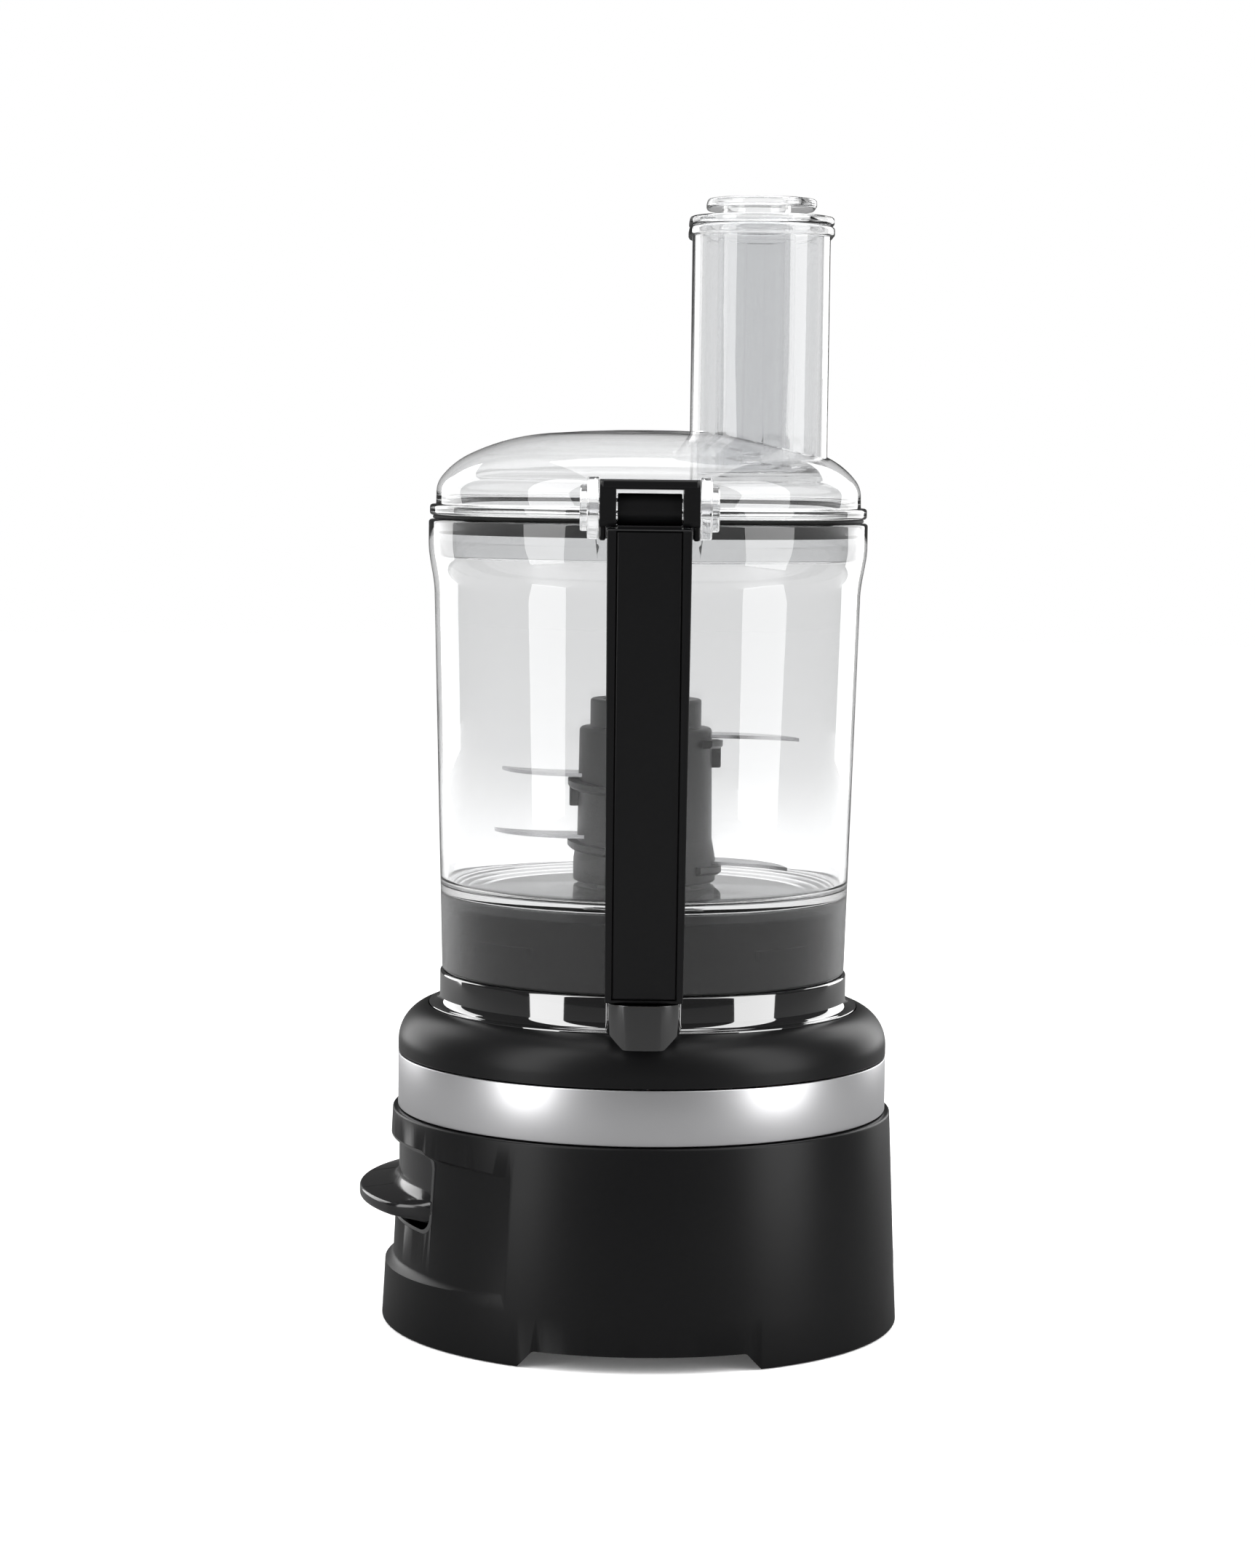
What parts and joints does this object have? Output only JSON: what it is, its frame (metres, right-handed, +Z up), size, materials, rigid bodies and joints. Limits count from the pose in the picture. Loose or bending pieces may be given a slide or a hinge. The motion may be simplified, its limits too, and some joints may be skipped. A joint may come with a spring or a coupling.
{
  "type": "food processor",
  "caption": "Motor base with key paddles, clear work bowl with a handle, latched domed lid with a feed tube and nested pushers, and a chopping blade unit.",
  "frame": {"origin": "on the bowl axis, in the plane of the base's standing edge", "axes": "+Z up along the bowl axis, -Y towards the key paddles, +X towards the bowl handle"},
  "size_m": [0.2266, 0.2132, 0.4392],
  "materials": {
    "housing_plastic": "fine satin grain",
    "gloss_black_plastic": "polished",
    "brushed_band": "brushed",
    "clear_plastic": "clear, polished",
    "handle_plastic": "satin",
    "key_plastic": "polished",
    "hub_plastic": "moulded grain",
    "cover_plastic": "matt",
    "rubber": "matt",
    "blade_steel": "ground",
    "steel": "turned",
    "motor_alloy": "cast",
    "laminated_iron": "stacked sheet",
    "copper_wire": "enamelled",
    "carbon": "matt",
    "nylon": "matt",
    "dark_nylon": "matt",
    "board_green": "solder resist"
  },
  "bodies": {
    "base": {"base_housing": "housing_plastic", "bottom_cover": "cover_plastic", "rubber_feet": "rubber", "cover_screws": "steel", "trim_band": "brushed_band", "top_housing": "housing_plastic", "bowl_seat": "gloss_black_plastic", "lock_sensor": "board_green", "chassis_plate": "motor_alloy", "lower_bearing": "steel", "upper_bearing": "steel", "cord_gland": "rubber", "motor_frame": "motor_alloy", "field_core": "laminated_iron", "field_coils": "copper_wire", "carbon_brushes": "carbon", "control_board": "board_green", "key_frame": "gloss_black_plastic", "key_rod": "steel", "key_switches": "dark_nylon", "off_key_spring": "steel", "run_key_spring": "steel", "pulse_key_spring": "steel", "drive_belt": "rubber"},
    "rotor": {"motor_shaft": "steel", "armature": "laminated_iron", "armature_windings": "copper_wire", "commutator": "copper_wire", "cooling_fan": "dark_nylon", "motor_pulley": "dark_nylon"},
    "drive": {"drive_pulley": "dark_nylon", "drive_shaft": "steel", "drive_coupling": "nylon"},
    "blades": {"blade_hub": "hub_plastic", "top_blade": "blade_steel", "upper_blade": "blade_steel", "lower_blade": "blade_steel", "bottom_blade": "blade_steel"},
    "bowl": {"work_bowl": "clear_plastic", "handle_shell": "handle_plastic", "handle_cover": "handle_plastic", "handle_screws": "steel", "rod_spring": "steel"},
    "rod": {"interlock_rod": "nylon"},
    "lid": {"lid": "clear_plastic", "lid_gasket": "rubber", "latch_pins": "steel"},
    "latch": {"latch": "handle_plastic"},
    "big_pusher": {"food_pusher": "clear_plastic"},
    "inner_pusher": {"small_pusher": "clear_plastic"},
    "off_key": {"off_key": "key_plastic"},
    "run_key": {"run_key": "key_plastic"},
    "pulse_key": {"pulse_key": "key_plastic"}
  },
  "joints": [
    {"name": "drive_spin", "type": "hinge", "parent": "base", "child": "drive", "pos_m": [0, 0, 0.02], "axis": [0, 0, 1], "continuous": true},
    {"name": "motor_spin", "type": "hinge", "parent": "base", "child": "rotor", "pos_m": [0, 0.055, 0.06], "axis": [0, 0, 1], "continuous": true},
    {"name": "blade_lift", "type": "slide", "parent": "drive", "child": "blades", "axis": [0, 0, 1], "range_m": [0, 0.075]},
    {"name": "bowl_turn", "type": "hinge", "parent": "base", "child": "bowl", "pos_m": [0, 0, 0.14], "axis": [0, 0, 1], "range_deg": [0, 30]},
    {"name": "lid_lift", "type": "slide", "parent": "bowl", "child": "lid", "axis": [0, 0, 1], "range_m": [0, 0.12]},
    {"name": "latch_swing", "type": "hinge", "parent": "lid", "child": "latch", "pos_m": [0.098, 0, 0.3205], "axis": [0, -1, 0], "range_deg": [0, 95]},
    {"name": "rod_slide", "type": "slide", "parent": "bowl", "child": "rod", "axis": [0.0937, 0, 0.9956], "range_m": [0, 0.0033], "deforming": ["rod_spring"]},
    {"name": "pusher_lift", "type": "slide", "parent": "lid", "child": "big_pusher", "axis": [0, 0, 1], "range_m": [0, 0.085]},
    {"name": "small_pusher_lift", "type": "slide", "parent": "big_pusher", "child": "inner_pusher", "axis": [0, 0, 1], "range_m": [0, 0.085]},
    {"name": "off_key_press", "type": "hinge", "parent": "base", "child": "off_key", "pos_m": [0, -0.07003, 0.067], "axis": [1, 0, 0], "range_deg": [0, 4], "stiffness_Nm_per_rad": 1.2, "springref_deg": -3.44, "deforming": ["off_key_spring"]},
    {"name": "run_key_press", "type": "hinge", "parent": "base", "child": "run_key", "pos_m": [0, -0.07003, 0.067], "axis": [1, 0, 0], "range_deg": [0, 4], "stiffness_Nm_per_rad": 1.2, "springref_deg": -3.44, "deforming": ["run_key_spring"]},
    {"name": "pulse_key_press", "type": "hinge", "parent": "base", "child": "pulse_key", "pos_m": [0, -0.07003, 0.067], "axis": [1, 0, 0], "range_deg": [0, 4], "stiffness_Nm_per_rad": 1.2, "springref_deg": -3.44, "deforming": ["pulse_key_spring"]}
  ],
  "couplings": [
    {"joint": "motor_spin", "follows": "drive_spin", "ratio": 4.2967},
    {"joint": "latch_swing", "follows": "rod_slide", "rad_per_m": 502.4}
  ]
}
